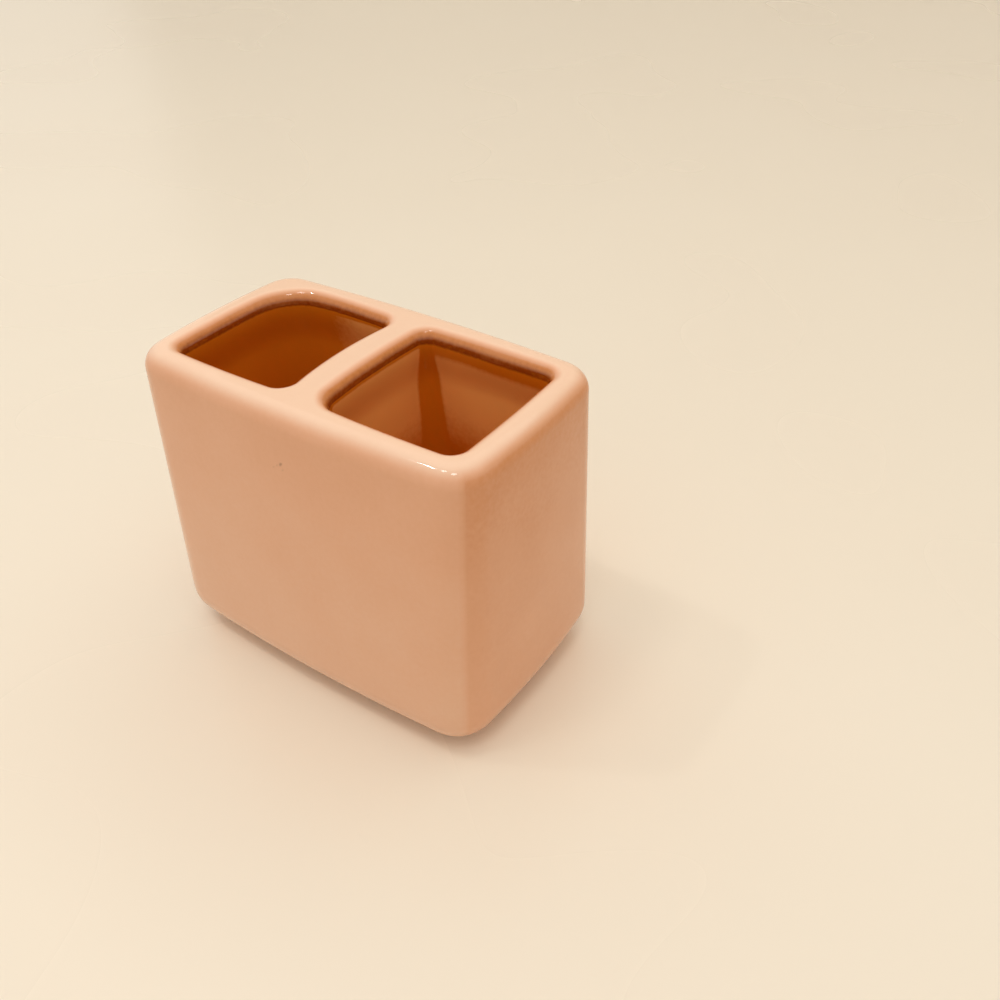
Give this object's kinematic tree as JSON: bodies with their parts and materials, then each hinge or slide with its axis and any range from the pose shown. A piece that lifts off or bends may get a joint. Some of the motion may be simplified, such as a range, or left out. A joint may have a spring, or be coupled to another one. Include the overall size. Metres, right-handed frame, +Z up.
{
  "type": "toothbrush holder",
  "caption": "Free-standing glazed ceramic toothbrush holder with a rolled rim, a divider between its compartments, and stick-on anti-slip pads under its foot.",
  "frame": {"origin": "middle of the footprint, on the surface that the pads stand on", "axes": "+X along the long side with the larger compartment on its end, -Y the front, +Z up"},
  "size_m": [0.1136, 0.0722, 0.0936],
  "materials": {
    "glazed_ceramic": "glossy peach glaze",
    "silicone_pad": "matt translucent silicone",
    "adhesive_film": "matt adhesive film"
  },
  "bodies": {
    "root": {"ceramic_body": "glazed_ceramic", "foot_pad_front_left": "silicone_pad", "foot_pad_front_right": "silicone_pad", "foot_pad_rear_left": "silicone_pad", "foot_pad_rear_right": "silicone_pad", "pad_adhesive_front_left": "adhesive_film", "pad_adhesive_front_right": "adhesive_film", "pad_adhesive_rear_left": "adhesive_film", "pad_adhesive_rear_right": "adhesive_film"}
  },
  "joints": []
}
